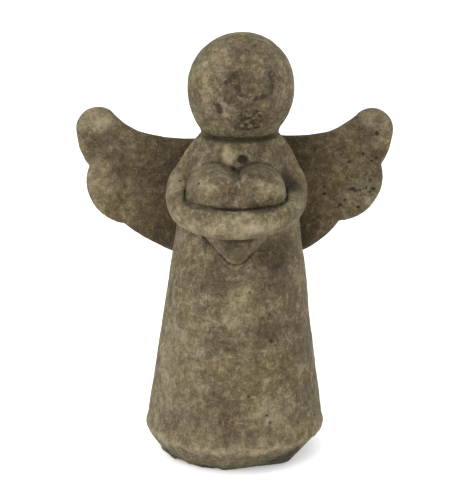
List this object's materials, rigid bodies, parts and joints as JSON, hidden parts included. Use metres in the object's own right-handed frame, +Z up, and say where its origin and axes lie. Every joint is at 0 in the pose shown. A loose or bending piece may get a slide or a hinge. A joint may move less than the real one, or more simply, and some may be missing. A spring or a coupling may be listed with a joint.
{
  "type": "angel figurine",
  "caption": "Stoneware angel figurine with a bell-shaped robe, plain ball head, lobed wings, and arms closed round a thick heart.",
  "frame": {"origin": "middle of the flat underside of the foot", "axes": "+Z up, the figure faces -Y, and +X is to the right of a viewer who faces it"},
  "size_m": [0.1863, 0.1092, 0.25],
  "materials": {
    "stoneware": "matte, mottled brown-grey with cream specks, dark stains and small pits"
  },
  "bodies": {
    "root": {"angel_figurine": "stoneware"}
  },
  "joints": []
}
